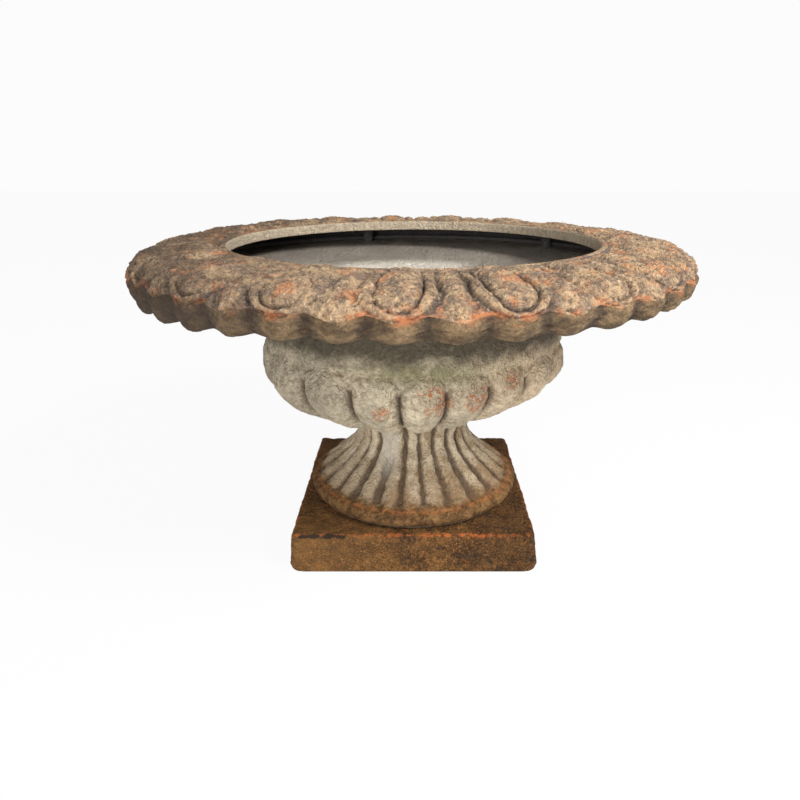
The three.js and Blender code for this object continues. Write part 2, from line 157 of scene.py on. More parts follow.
class Finish:
    """One weathered finish: a material built up from layers of colour and a rough surface."""

    def __init__(self, name, roughness):
        self.material = bpy.data.materials.new(name)
        self.material.use_nodes = True
        self.tree = self.material.node_tree
        self.shader = self.tree.nodes["Principled BSDF"]
        self.shader.inputs["Roughness"].default_value = roughness
        self.place = self.tree.nodes.new("ShaderNodeTexCoord").outputs["Object"]
        self.relief = None

    def node(self, kind, inputs, **settings):
        made = self.tree.nodes.new(kind)
        for name, value in settings.items():
            setattr(made, name, value)
        for socket, value in inputs.items():
            self.fill(made.inputs[socket], value)
        return made

    def fill(self, socket, value):
        if isinstance(value, bpy.types.NodeSocket):
            self.tree.links.new(value, socket)
        else:
            socket.default_value = value

    def mark(self, name):
        """A value that the mesh carries, such as how deep a point lies in a hollow."""
        return self.node("ShaderNodeAttribute", {}, attribute_name=name).outputs["Fac"]

    def height(self):
        return self.node("ShaderNodeSeparateXYZ", {"Vector": self.place}).outputs["Z"]

    def sideways(self):
        return self.node("ShaderNodeSeparateXYZ", {"Vector": self.place}).outputs["X"]

    def cloud(self, size, detail=3.0, seed=0.0, stretch=(1, 1, 1), contrast=0.5, swirl=0.0):
        """Cloudy noise from 0 to 1. size is its largest lumps, stretch squeezes it on an axis and swirl
        folds it into wrinkles."""
        moving = {"Vector": self.place, "Location": (seed, 0, 0), "Scale": stretch}
        moved = self.node("ShaderNodeMapping", moving).outputs["Vector"]
        inputs = {"Vector": moved, "Scale": 1 / size, "Detail": detail, "Roughness": contrast}
        return self.node("ShaderNodeTexNoise", {**inputs, "Distortion": swirl}).outputs["Fac"]

    def math(self, operation, first, second):
        return self.node("ShaderNodeMath", {0: first, 1: second}, operation=operation).outputs[0]

    def times(self, first, second):
        return self.math("MULTIPLY", first, second)

    def plus(self, value, other, amount=1.0):
        """value with amount times other added to it."""
        return self.math("ADD", value, self.times(other, amount))

    def over(self, value, start, end):
        """0 up to start, 1 from end on, and smooth between them. end may be the lower of the two."""
        if end < start:
            return self.plus(1.0, self.over(value, end, start), -1.0)
        inputs = {"Value": value, "From Min": start, "From Max": end}
        return self.node("ShaderNodeMapRange", inputs, interpolation_type="SMOOTHSTEP").outputs["Result"]

    def layer(self, below, above, share):
        """Colour above laid over colour below where share is 1."""
        mix = self.tree.nodes.new("ShaderNodeMix")
        mix.data_type = "RGBA"
        self.fill(mix.inputs["Factor"], share)
        self.fill(mix.inputs[6], below)
        self.fill(mix.inputs[7], above)
        return mix.outputs[2]

    def coat(self, below, paint, value, start, end, share=1.0):
        """A coat of paint over what is below: none where value is at start, and share of it from end on."""
        return self.layer(below, colour(*paint), self.times(self.over(value, start, end), share))

    def rough(self, height, depth):
        """Adds relief to the surface: height from 0 to 1, over a depth in metres."""
        inputs = {"Height": height, "Strength": 1.0, "Distance": depth}
        if self.relief is not None:
            inputs["Normal"] = self.relief
        self.relief = self.node("ShaderNodeBump", inputs).outputs["Normal"]

    def finish(self, base, *pieces):
        self.tree.links.new(base, self.shader.inputs["Base Color"])
        self.tree.links.new(self.relief, self.shader.inputs["Normal"])
        for piece in pieces:
            piece.data.materials.clear()
            piece.data.materials.append(self.material)


low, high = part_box("plinth")
half, plinth_top = high.x + PLINTH_SPARE, high.z
top_half = half - PLINTH_TAPER
hollow_half = half - PLINTH_FOOT_RING
plate_under = plinth_top - PLINTH_PLATE
plinth_outline = worn_outline(
    [
        (hollow_half, 0),
        (half, 0),
        (top_half, plinth_top),
        (PLINTH_HOLE, plinth_top),
        (PLINTH_HOLE, plate_under),
        (hollow_half - HOLLOW_TAPER, plate_under),
    ],
    PLINTH_ROW,
    PLINTH_WEAR,
)
side, height = plinth_outline.T
angles = around(PLINTH_COLUMNS)
corner = PLINTH_CORNER + (PLINTH_FOOT_CORNER - PLINTH_CORNER) * fade(height, FOOT_CORNER_HIGH, 0)
squareness = fade(side, PLINTH_HOLE, hollow_half - SQUARE_IN)
reach = (1 - squareness) * side + squareness * square_reach(side, corner, angles)
points = at_reach(reach, angles, height)
x, y, z = np.moveaxis(points, -1, 0)
chip = fade(x, CHIP_START, CHIP_START + CHIP_RISE) * fade(x, CHIP_END, CHIP_END - CHIP_WANE)
chip = chip * fade(abs(z - plinth_top + CHIP_DOWN), CHIP_HIGH, 0.001) * fade(y, CHIP_BACK - half, -half)
chip = np.clip(chip * (1.3 + 1.2 * lumps(points, 0.011, 4.0)), 0, 1)
outside = fade(side, PLINTH_HOLE - 0.001, PLINTH_HOLE + 0.02) * fade(height, 0, 0.004)
sunk = DENT_MEAN + swellings(points, DENTS) + CHIP_DEPTH * chip
points = points - outward(points) * (outside * sunk)[..., None]
points = np.clip(points, tuple(low), tuple(high))
from_arris = np.hypot(side - top_half + ARRIS_IN, height - plinth_top + ARRIS_IN)
arris = near(from_arris, ARRIS_WIDE)
plinth = cast("plinth_casting", points, "brown_iron", arris=arris, chip=chip)
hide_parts("plinth")

earth = Finish("earth_brown_paint", roughness=0.9)
earth.shader.inputs["Specular IOR Level"].default_value = 0.2
grain = earth.cloud(0.0026, 6, 2.0, contrast=0.75)
broad = earth.cloud(0.03, 7, 1.0, contrast=0.68)
tone = earth.coat(colour(74, 50, 26), (112, 78, 42), broad, 0.38, 0.62)
tone = earth.coat(tone, (162, 116, 68), grain, 0.52, 0.64, 0.7)
tone = earth.coat(tone, (38, 28, 18), grain, 0.49, 0.36, 0.85)
tone = earth.coat(tone, (48, 38, 28), earth.cloud(0.020, 7, 4.0, contrast=0.7), 0.53, 0.66, 0.8)
rust = earth.plus(earth.cloud(0.007, 8, 7.0, contrast=0.78), earth.mark("arris"), 0.13)
tone = earth.coat(tone, (176, 94, 46), rust, 0.57, 0.68, 0.8)
# Painted light and shade: the plinth is painted lighter towards its left and darker towards its right.
tone = earth.coat(tone, (158, 116, 70), earth.sideways(), 0.02, -0.14, 0.22)
tone = earth.coat(tone, (44, 32, 20), earth.sideways(), 0.05, 0.15, 0.38)
chipped = earth.plus(earth.mark("chip"), earth.cloud(0.005, 7, 9.0, contrast=0.8), 1.6)
tone = earth.coat(tone, (46, 39, 34), chipped, 1.00, 1.45, 0.9)
earth.rough(grain, 0.0012)
earth.rough(earth.cloud(0.008, 3, 6.0, contrast=0.6), 0.0070)
earth.finish(tone, plinth)


# ---------------------------------------------------------------------------------------------
# Foot bedding. A ring of dark mastic squeezed flat between the plinth and the foot, so that water
# can't creep in under the casting. The stem and rim bedding are of the same mastic.

mastic = Finish("bedding_mastic", roughness=0.8)
tone = mastic.coat(colour(62, 54, 44), (92, 80, 64), mastic.cloud(0.012, 4), 0.4, 0.65)
mastic.rough(mastic.cloud(0.004, 3), 0.0004)
mastic.finish(tone, *(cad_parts[name] for name in ("foot_bedding", "stem_bedding", "rim_bedding")))


# ---------------------------------------------------------------------------------------------
# Socle. One casting, bedded on the plinth: a round foot like a flattened cushion, and a fluted stem
# that narrows to a waist and flares out again under the bowl. Cream paint is left on the reeds, and
# the channels between them are painted grey and brown, a painted shade.

SOCLE_ROW, SOCLE_WEAR = 0.0016, 0.0009
FOOT_EDGE, FOOT_HIGH, FOOT_POINTS = 0.1505, 0.0205, 15
WAIST, WAIST_AT = 0.083, 0.094
STEM_TOP, STEM_INNER, STEM_INNER_TOP = 0.102, 0.0725, 0.109
STEM_MOUTH, STEM_MOUTH_THICK = 0.063, 0.0055
FOOT_INNER, FOOT_INNER_HIGH = 0.1405, 0.0145
REEDS, REED_COLUMNS, REED_TURN = 24, 32, math.radians(-0.5)
REED_HALF, REED_CROWN = 0.56, 0.32
WANDER_WIDE, WANDER_TIGHT = math.radians(0.9), math.radians(0.5)
CHANNEL_DEPTH = 0.0070
FILLED_CHANNEL, FILLED_UP_TO = math.radians(-23), 0.93
PATCH_HIGH, PATCH_LOW = 0.075, 0.045
SOCLE_SINK = 0.0006
SOCLE_LUMPS = ((0.0008, 0.030, 11.0), (0.0012, 0.009, 12.0))
CURVE_POINTS = 25


def bend(start, end, *pulls):
    """Points of a smooth curve between two (reach, height) points. A pull is a control point, given as
    shares of the way in reach and in height."""
    ends = np.array([start, end], float)
    controls = [ends[0], *(ends[0] + (ends[1] - ends[0]) * np.array(pull) for pull in pulls), ends[1]]
    share = np.linspace(0, 1, CURVE_POINTS)[:, None]
    degree = len(controls) - 1
    return sum(
        math.comb(degree, k) * share**k * (1 - share) ** (degree - k) * control
        for k, control in enumerate(controls)
    )


def turned_from(angles, turn):
    """How far round the urn each angle is from a turn, from 0 to half a circle."""
    return abs((angles - turn + np.pi) % (2 * np.pi) - np.pi)


low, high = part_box("socle")
foot_reach, stem_height = high.x, high.z - low.z
flute_start, flare_end = FOOT_HIGH + 0.001, stem_height - 0.004
foot_turns = np.linspace(-np.pi / 2, np.pi / 2, FOOT_POINTS)
foot_round = np.c_[
    FOOT_EDGE + (foot_reach - FOOT_EDGE) * np.cos(foot_turns),
    FOOT_HIGH / 2 * (1 + np.sin(foot_turns)),
]
socle_outline = worn_outline(
    [
        *foot_round,
        (FOOT_EDGE - 0.0012, flute_start + 0.001),
        *bend((FOOT_EDGE - 0.002, flute_start + 0.0015), (WAIST, WAIST_AT), (0.28, 0.25), (1, 0.65))[1:],
        *bend((WAIST, WAIST_AT), (STEM_TOP, flare_end), (0, 0.45), (0.4, 0.85))[1:],
        (STEM_TOP, stem_height),
        (STEM_MOUTH, stem_height),
        (STEM_MOUTH, stem_height - STEM_MOUTH_THICK),
        (STEM_INNER, STEM_INNER_TOP),
        *bend((STEM_INNER, WAIST_AT), (FOOT_INNER, FOOT_INNER_HIGH), (0, 0.4), (0.55, 0.72)),
        (FOOT_INNER, 0),
    ],
    SOCLE_ROW,
    SOCLE_WEAR,
)
reach, height = socle_outline.T
mouth_row = np.argmin(np.hypot(reach - STEM_MOUTH, height - stem_height))
outer_rows = np.arange(len(reach)) < mouth_row
angles = around(REEDS * REED_COLUMNS)
wander = WANDER_WIDE * np.sin(3 * angles + 1) + WANDER_TIGHT * np.sin(7 * angles)
turns = (angles - REED_TURN + wander) * REEDS / (2 * np.pi)
ragged = 0.16 * lumps(at_reach(reach, angles, height), 0.011, 16.0)
across = 2 * abs(turns - np.round(turns)) + ragged
on_stem = fade(reach, FOOT_EDGE + 0.001, FOOT_EDGE - 0.012) * outer_rows
on_stem = on_stem * fade(height, flare_end - 0.002, flare_end - 0.010) * (height > flute_start)
uneven = 0.10 * np.sin(5 * angles + 0.7) + 0.06 * lumps(at_reach(reach, angles, 0.3 * height), 0.03, 14.0)
reed_half = REED_HALF + uneven - 0.06 * fade(height, 0.05, 0.02)
crown = REED_CROWN * np.clip(across / reed_half, 0, 1) ** 2
cut = (1 - REED_CROWN) * fade(across, reed_half - 0.08, reed_half + 0.32)
from_filled = turned_from(angles, FILLED_CHANNEL)
filled = fade(from_filled, math.radians(8.5), math.radians(5.5)) * fade(height, 0.066, 0.086)
channel = (crown + cut) * on_stem * (1 - FILLED_UP_TO * filled)
points = at_reach(reach, angles, low.z + height)
skin = fade(reach, STEM_INNER + 0.001, STEM_INNER + 0.005) * fade(height, 0, 0.003) * outer_rows
swelling = swellings(points, SOCLE_LUMPS) - SOCLE_SINK
points = points + outward(points) * (skin * swelling - CHANNEL_DEPTH * channel)[..., None]
marks = {
    "channel": channel,
    "patch": fade(from_filled, math.radians(13), math.radians(5)) * fade(height, PATCH_LOW, PATCH_HIGH),
    "foot": fade(height, 0.050, 0.012) * skin,
    "arris": near(np.hypot(reach - FOOT_EDGE + 0.001, height - FOOT_HIGH), 0.0035),
}
socle = cast("socle_casting", points, "stained_iron", **marks)
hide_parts("socle")

cream = Finish("stained_cream_paint", roughness=0.88)
cream.shader.inputs["Specular IOR Level"].default_value = 0.2
grain = cream.cloud(0.0032, 6, 5.0, contrast=0.72)
broad = cream.cloud(0.028, 6, 1.0, contrast=0.6)
tone = cream.coat(colour(164, 142, 112), (212, 196, 168), broad, 0.38, 0.62)
tone = cream.coat(tone, (220, 206, 182), grain, 0.54, 0.68, 0.55)
tone = cream.coat(tone, (96, 74, 52), grain, 0.47, 0.35, 0.75)
up_stem = cream.plus(cream.height(), cream.cloud(0.02, 4, 2.0), 0.03)
tone = cream.coat(tone, (134, 102, 68), up_stem, 0.150, 0.095, 0.66)
# Painted light: the stem is painted lighter towards its left side.
tone = cream.coat(tone, (214, 198, 170), cream.sideways(), -0.01, -0.09, 0.32)
tone = cream.coat(tone, (186, 110, 70), cream.cloud(0.010, 7, 5.0, contrast=0.7), 0.60, 0.70, 0.7)
# Painted shade: the channels between the reeds are painted grey-brown where they sink.
channel_shade = cream.plus(cream.mark("channel"), cream.cloud(0.006, 6, 6.0, contrast=0.65), 0.7)
tone = cream.coat(tone, (88, 70, 56), channel_shade, 0.66, 1.40, 0.85)
tone = cream.layer(tone, colour(204, 196, 180), cream.times(cream.mark("patch"), 0.7))
broad = cream.cloud(0.014, 6, 9.0, contrast=0.65)
foot_tone = cream.coat(colour(90, 64, 38), (142, 106, 66), broad, 0.36, 0.66)
foot_tone = cream.coat(foot_tone, (44, 32, 22), grain, 0.48, 0.36, 0.8)
on_foot = cream.plus(cream.mark("foot"), cream.cloud(0.009, 7, 15.0, contrast=0.72), 0.8)
tone = cream.layer(tone, foot_tone, cream.over(on_foot, 0.80, 1.20))
edge = cream.times(cream.mark("arris"), cream.over(cream.cloud(0.010, 6, 8.0, contrast=0.65), 0.42, 0.56))
tone = cream.layer(tone, colour(172, 108, 62), cream.times(edge, 0.7))
cream.rough(grain, 0.0012)
cream.rough(cream.cloud(0.007, 3, 6.0, contrast=0.6, swirl=1.0), 0.0060)
cream.finish(tone, socle)


# ---------------------------------------------------------------------------------------------
# Tie rod. Plain steel: one long rod clamps plinth, socle and bowl, with a flat bar across the plinth's
# hole, and a washer and a nut at each end. Damp has left it brown, as it has the rim's screws. A
# rubber seal lies under the upper washer, on the bowl's floor.

steel = Finish("damp_steel", roughness=0.55)
steel.shader.inputs["Metallic"].default_value = 0.6
tone = steel.coat(colour(112, 104, 96), (104, 68, 44), steel.cloud(0.012, 5), 0.42, 0.60)
steel.rough(steel.cloud(0.003, 4), 0.0003)
fixings = ["tie_rod", "tie_bar", "lower_washer", "lower_nut", "upper_washer", "upper_nut"]
fixings += [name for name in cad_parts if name.startswith("rim_screw")]
steel.finish(tone, *(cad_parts[name] for name in fixings))

rubber = Finish("seal_rubber", roughness=0.7)
tone = rubber.coat(colour(30, 29, 28), (58, 54, 50), rubber.cloud(0.010, 4), 0.45, 0.70)
rubber.rough(rubber.cloud(0.002, 2), 0.0001)
rubber.finish(tone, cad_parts["floor_seal"])


# ---------------------------------------------------------------------------------------------
# Bowl. One casting, clamped on the stem: fat gadroons like a ring of half-sunk balls, a plain neck,
# and a flare that opens into the flange under the rim. Outside it keeps worn cream paint, brushed on
# thick, with rust breaking through. Inside it is grey, with a painted pool of light where the wall turns in.

BOWL_ROW, BOWL_WEAR = 0.0017, 0.0008
BOWL_SEAT, ROD_HOLE, BOWL_FLOOR_THICK = 0.104, 0.0095, 0.007
GADROONS, GADROON_COLUMNS = 18, 48
GADROON_REACH, GADROON_MIDDLE, GADROON_TOP = 0.2168, 0.070, 0.101
GADROON_DEPTH, GADROON_ARCH, GADROON_SWELL = 0.0185, 0.021, 0.0018
GADROON_SPREAD, SPREAD_TURN = math.radians(8.5), math.radians(15)
SPANDREL, SPANDREL_HIGH = 0.30, 0.020
LEDGE_DEPTH, LEDGE_WIDE = 0.0026, 0.0025
NECK_REACH, NECK_TOP = 0.214, 0.148
NECK_INNER, NECK_INNER_LOW = 0.2085, 0.120
BELLY_INNER, BELLY_INNER_LOW = 0.1995, 0.0855
FLANGE_START, FLANGE_THICK = 0.311, 0.0065
LINING = 0.0035
TILT, SAG, FRONT_SAG, FRONT_SAG_WIDE = 0.0086, 0.0010, 0.0040, math.radians(20)
DRAIN_CIRCLE, DRAIN_HOLE, DRAINS = 0.045, 0.007, 4
SCREW_CIRCLE, SCREW_HOLE, SCREWS, SCREW_TURN = 0.325, 0.0045, 6, math.radians(15)
DRILL_SIDES = 24
CRUMPLE_DEPTH, BOWL_LUMP, BOWL_LUMP_SIZE = 0.0016, 0.0013, 0.026
LIT_PATCH_TURN = math.radians(186)
MOSS_TURN, MOSS_WIDE, MOSS_UP, MOSS_HIGH = math.radians(4), math.radians(22), 0.006, 0.014
RUST_BLOOMS = (
    (-10.5, 0.248, 0.013),
    (5.5, 0.272, 0.019),
    (9, 0.256, 0.014),
    (22, 0.266, 0.021),
    (35, 0.283, 0.014),
)


def drill(piece, holes):
    """Cuts round upright holes through a piece. A hole is (angle, circle, reach, low, high)."""
    corners, walls = [], []
    for turn, circle, hole_reach, bottom, top in holes:
        first = len(corners)
        x, y = circle * math.sin(turn), -circle * math.cos(turn)
        for level in (bottom, top):
            for k in range(DRILL_SIDES):
                side = 2 * math.pi * k / DRILL_SIDES
                corners.append((x + hole_reach * math.cos(side), y + hole_reach * math.sin(side), level))
        lower = [first + k for k in range(DRILL_SIDES)]
        upper = [corner + DRILL_SIDES for corner in lower]
        walls += [lower[::-1], upper]
        walls += [(lower[k - 1], lower[k], upper[k], upper[k - 1]) for k in range(DRILL_SIDES)]
    mesh = bpy.data.meshes.new("drill")
    mesh.from_pydata(corners, [], walls)
    cutter = bpy.data.objects.new("drill", mesh)
    bpy.context.scene.collection.objects.link(cutter)
    cutting = piece.modifiers.new("holes", "BOOLEAN")
    cutting.operation, cutting.object, cutting.solver = "DIFFERENCE", cutter, "FAST"
    bpy.context.view_layer.update()
    drilled = bpy.data.meshes.new_from_object(piece.evaluated_get(bpy.context.evaluated_depsgraph_get()))
    piece.modifiers.clear()
    piece.data = drilled
    bpy.data.objects.remove(cutter)


low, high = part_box("bowl")
bowl_height, flange_reach = high.z - low.z, high.x
flange_under = bowl_height - FLANGE_THICK
bowl_outline = worn_outline(
    [
        (ROD_HOLE, 0),
        *bend((BOWL_SEAT, 0), (GADROON_REACH, GADROON_MIDDLE), (0.41, 0.11), (0.95, 0.48)),
        *bend((GADROON_REACH, GADROON_MIDDLE), (NECK_REACH - 0.003, GADROON_TOP), (0, 0.75))[1:],
        (NECK_REACH - 0.001, GADROON_TOP + 0.002),
        *bend((NECK_REACH - 0.001, GADROON_TOP + 0.003), (NECK_REACH, NECK_TOP), (-1.2, 0.5)),
        *bend((NECK_REACH, NECK_TOP), (FLANGE_START, flange_under), (0.03, 0.5), (0.45, 0.85))[1:],
        (flange_reach, flange_under),
        (flange_reach, bowl_height),
        *bend((FLANGE_START, bowl_height), (NECK_INNER, NECK_TOP), (0.55, 0.14), (0.98, 0.51)),
        (NECK_INNER, NECK_INNER_LOW),
        (BELLY_INNER, GADROON_TOP),
        *bend((BELLY_INNER, BELLY_INNER_LOW), (BOWL_SEAT, BOWL_FLOOR_THICK), (0, 0.4), (0.5, 0.8)),
        (ROD_HOLE, BOWL_FLOOR_THICK),
    ],
    BOWL_ROW,
    BOWL_WEAR,
)
reach, height = bowl_outline.T
row_out = outward(at_reach(reach, around(8), height))[0]
faces_out = fade(-row_out[:, 1] * (height > 0.0005), -0.02, 0.10)
faces_down = fade(row_out[:, 2], -0.5, -0.8) * (height < flange_under + 0.002)
outer_skin = np.clip(faces_out + faces_down, 0, 1)
angles = around(GADROONS * GADROON_COLUMNS)
spread = GADROON_SPREAD * np.sin(2 * (angles - SPREAD_TURN))
turns = (angles + spread) * GADROONS / (2 * np.pi)
across = 2 * abs(turns - np.round(turns))
ball = 1 - np.sqrt(np.maximum(1 - (0.99 * across) ** 2, 0))
top_line = GADROON_TOP + 0.004 - GADROON_ARCH * (1 - np.sqrt(np.maximum(1 - 0.96 * across**2, 0)))
off_floor = fade(height, -0.004, 0.010)
on_body = off_floor * fade(height, top_line + 0.002, top_line - 0.011)
spandrel = SPANDREL * off_floor * fade(height, top_line + SPANDREL_HIGH, top_line)
groove = ball * np.maximum(on_body, spandrel) * outer_skin
ledge = near(height - top_line + 0.0005, LEDGE_WIDE) * outer_skin * (reach < NECK_REACH + 0.01)
points = at_reach(reach, angles, low.z + height)
crumple = 0.25 - abs(lumps(points, 0.011, 22.0)) + 0.6 * lumps(points, 0.0055, 23.0)
swelling = BOWL_LUMP * lumps(points, BOWL_LUMP_SIZE, 21.0) + CRUMPLE_DEPTH * crumple + GADROON_SWELL * on_body
swelling = swelling * outer_skin * fade(reach, flange_reach, FLANGE_START) * fade(height, 0, 0.01)
lining = LINING * (1 - outer_skin) * fade(height, 0.010, 0.030) * fade(height, 0.115, 0.095)
carving = GADROON_DEPTH * groove + LEDGE_DEPTH * ledge
points = points + outward(points) * (swelling + lining - carving)[..., None]
front_sag = FRONT_SAG * near(turned_from(angles, 0), FRONT_SAG_WIDE)
drop = 0.0002 + SAG * np.cos(angles) + front_sag - TILT * np.sin(angles)
points[..., 2] -= drop * fade(reach, 0.112, 0.150) * fade(height, 0.105, 0.050)
bloom = sum(
    near(np.linalg.norm(points - at_reach(GADROON_REACH, np.radians(turn), up), axis=-1), size)
    for turn, up, size in RUST_BLOOMS
)
moss_height = low.z + GADROON_TOP + MOSS_UP
moss = near(turned_from(angles, MOSS_TURN), MOSS_WIDE) * near(points[..., 2] - moss_height, MOSS_HIGH)
# Painted light: a pale patch on the inner wall at the back, where light falls in through the mouth.
lit_patch = fade(height, 0.177, 0.166) * fade(height, 0.110, 0.150)
marks = {
    "groove": groove,
    "crumple": crumple,
    "bloom": bloom * outer_skin,
    "moss": moss * outer_skin,
    "inside": (1 - outer_skin) * fade(height, 0.0, 0.004),
    "lit_patch": lit_patch * fade(turned_from(angles, LIT_PATCH_TURN), 0.66, 0.38),
}
bowl = cast("bowl_casting", points, "cream_iron", **marks)
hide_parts("bowl")

drain_turns = [math.pi / DRAINS * (2 * k + 1) for k in range(DRAINS)]
screw_turns = [SCREW_TURN + 2 * math.pi * k / SCREWS for k in range(SCREWS)]
holes = [(turn, DRAIN_CIRCLE, DRAIN_HOLE, low.z - 0.005, low.z + 0.015) for turn in drain_turns]
holes += [(turn, SCREW_CIRCLE, SCREW_HOLE, high.z - 0.015, high.z + 0.005) for turn in screw_turns]
drill(bowl, holes)

brushed = Finish("brushed_cream_paint", roughness=0.82)
grain = brushed.cloud(0.0042, 6, 5.0, contrast=0.68, swirl=1.2)
broad = brushed.cloud(0.05, 6, 1.0, contrast=0.6)
tone = brushed.coat(colour(196, 182, 156), (228, 211, 180), broad, 0.38, 0.62)
# Painted shade: darker where the wrinkles of the paint sink.
tone = brushed.coat(tone, (150, 130, 102), brushed.mark("crumple"), 0.10, -0.30, 0.5)
tone = brushed.coat(tone, (236, 229, 212), grain, 0.54, 0.67, 0.5)
tone = brushed.coat(tone, (104, 86, 64), grain, 0.45, 0.34, 0.5)
tone = brushed.coat(tone, (146, 122, 90), brushed.cloud(0.016, 7, 3.0, contrast=0.72), 0.53, 0.66, 0.55)
# Painted shade and light: the bowl is painted darker on its left and lighter and warmer on its right.
tone = brushed.coat(tone, (116, 106, 90), brushed.sideways(), -0.03, -0.14, 0.26)
tone = brushed.coat(tone, (232, 190, 146), brushed.sideways(), 0.03, 0.14, 0.30)
mossy = brushed.times(brushed.mark("moss"), brushed.over(brushed.cloud(0.02, 6, 12.0), 0.30, 0.55))
tone = brushed.layer(tone, colour(126, 122, 74), brushed.times(mossy, 0.75))
# Painted shade: the top of the neck, under the rim's overhang, is painted dark.
rim_shade_height = brushed.plus(brushed.height(), brushed.cloud(0.02, 5, 13.0), 0.03)
tone = brushed.coat(tone, (72, 62, 44), rim_shade_height, 0.313, 0.341, 0.92)
# Painted shade: the crevices between the gadroons are painted dark brown.
groove_shade = brushed.plus(brushed.mark("groove"), brushed.cloud(0.007, 6, 6.0, contrast=0.68), 0.6)
tone = brushed.coat(tone, (78, 58, 38), groove_shade, 0.58, 1.08, 0.90)
curls = brushed.plus(brushed.cloud(0.016, 4, 5.0, contrast=0.6, swirl=0.6), -0.5)
line = brushed.over(brushed.math("ABSOLUTE", curls, 0.0), 0.050, 0.016)
broken = brushed.over(brushed.cloud(0.0045, 5, 8.0, contrast=0.7), 0.40, 0.54)
in_bloom = brushed.over(brushed.mark("bloom"), 0.22, 0.60)
stroke = brushed.times(brushed.times(line, broken), in_bloom)
tone = brushed.layer(tone, colour(158, 118, 84), brushed.times(in_bloom, 0.22))
tone = brushed.layer(tone, colour(204, 118, 64), brushed.times(stroke, 0.95))
dark_rust = brushed.plus(brushed.cloud(0.007, 6, 11.0, contrast=0.75), brushed.mark("bloom"), 0.10)
tone = brushed.coat(tone, (104, 58, 34), dark_rust, 0.63, 0.72, 0.7)
inner = brushed.coat(colour(146, 136, 124), (160, 150, 136), brushed.cloud(0.05, 4, 15.0), 0.40, 0.65)
# Painted light: the pale patch on the inner wall.
inner = brushed.layer(inner, colour(228, 218, 202), brushed.mark("lit_patch"))
tone = brushed.layer(tone, inner, brushed.over(brushed.mark("inside"), 0.3, 0.7))
brushed.rough(grain, 0.0012)
brushed.rough(brushed.cloud(0.0075, 3, 6.0, contrast=0.6, swirl=1.6), 0.0085)
brushed.finish(tone, bowl)


# ---------------------------------------------------------------------------------------------
# Rim. One casting, screwed down on the bowl's flange: an upright lip round the mouth, a broad
# top carved with worn egg-and-dart, and a plain band that turns under and drips clear of the bowl.
# Its thin paint is gritty and rust orange on the crowns; its hollows are painted charcoal, a painted shade.

RIM_ROW, RIM_WEAR = 0.0013, 0.0008
RIM_GAP = 0.0003
RIM_WALL, CARVING_ROOM, SHOULDER_THICKER = 0.0055, 0.009, 1.3
LIP_INNER, LIP_OUTER, LIP_FOOT = 0.254, 0.262, 0.003
LIP_BOTTOM, LIP_EDGE, LIP_TOP = 0.0255, 0.0387, 0.0412
CROWN_REACH = 0.290
SHOULDER_AT, SHOULDER_TOP, SHOULDER_WIDE = 0.015, 0.036, 0.018
SKIRT_GAP, DRIP_WIDE, DRIP_ROWS = 0.0006, 0.008, 9
LEDGE_REACH, LEDGE_THICK = 0.343, 0.006
EGGS, EGG_COLUMNS, EGG_TURN, EGG_SPREAD = 19, 96, math.radians(-2.5), math.radians(3)
CARVING = 0.0100
EGG_WIDE, SHELL_WIDE = 0.42, 0.69
EGG_CENTRE, EGG_LONG, SHELL_LONG = 0.60, 0.33, 0.42
SHELL_SHARE, DART_SHARE, FIELD_SHARE = 0.74, 0.70, 0.34
DART_LONG, DART_TIP = 0.78, 0.24
WORN_SHARE, WORN_SIZE = 0.38, 0.11
BAND_LINE, BAND_WAVE, BAND_IN = 0.955, 0.065, 0.0008
SCALLOP, SCALLOP_LIFT = 0.0085, 0.0055
RIM_LUMP, RIM_LUMP_SIZE, GRIT_DEPTH = 0.0015, 0.026, 0.0019
BULGE = 0.0022
LEFT_DROP, LEFT_TURN, LEFT_WIDE = 0.0075, math.radians(-52), math.radians(50)
LUG_REACH, THREAD_REACH, LUG_HIGH, LUG_COLUMNS = 0.009, 0.0043, 0.030, 32

low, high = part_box("rim")
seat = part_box("rim_bedding")[1].z + RIM_GAP
drip_at, crown_at = low.z - seat, high.z - seat
shoulder_reach = max(high.y, -low.y)
shoulder_top = (shoulder_reach - SHOULDER_WIDE, SHOULDER_TOP)
skirt_reach = flange_reach + SKIRT_GAP
lip_start = LIP_OUTER + LIP_FOOT
ceiling = crown_at - CARVING_ROOM - RIM_WALL
inner_shoulder = shoulder_reach - CARVING_ROOM - SHOULDER_THICKER * RIM_WALL
rim_outline = worn_outline(
    [
        (skirt_reach, 0),
        (skirt_reach, 0.002 + drip_at),
        (skirt_reach + 0.002, drip_at),
        *bend((skirt_reach + DRIP_WIDE, drip_at), (shoulder_reach, SHOULDER_AT), (0.9, -0.05)),
        *bend((shoulder_reach, SHOULDER_AT), shoulder_top, (0.08, 0.6))[1:],
        *bend(shoulder_top, (CROWN_REACH, crown_at), (0.3, 0.62))[1:],
        *bend((CROWN_REACH, crown_at), (lip_start, LIP_EDGE), (0.8, 0))[1:],
        (LIP_OUTER, LIP_TOP),
        (LIP_INNER + 0.0025, LIP_TOP),
        (LIP_INNER, LIP_EDGE),
        (LIP_INNER, LIP_BOTTOM),
        (LIP_OUTER, LIP_BOTTOM),
        (LIP_OUTER + RIM_WALL, ceiling - 0.002),
        *bend((CROWN_REACH, ceiling), (inner_shoulder, SHOULDER_AT - 0.002), (0.5, 0.15), (0.9, 0.5)),
        (0.4 * skirt_reach + 0.6 * inner_shoulder, LEDGE_THICK),
        (LEDGE_REACH, LEDGE_THICK),
        (LEDGE_REACH, 0),
    ],
    RIM_ROW,
    RIM_WEAR,
)
reach, height = rim_outline.T
row_number = np.arange(len(reach))
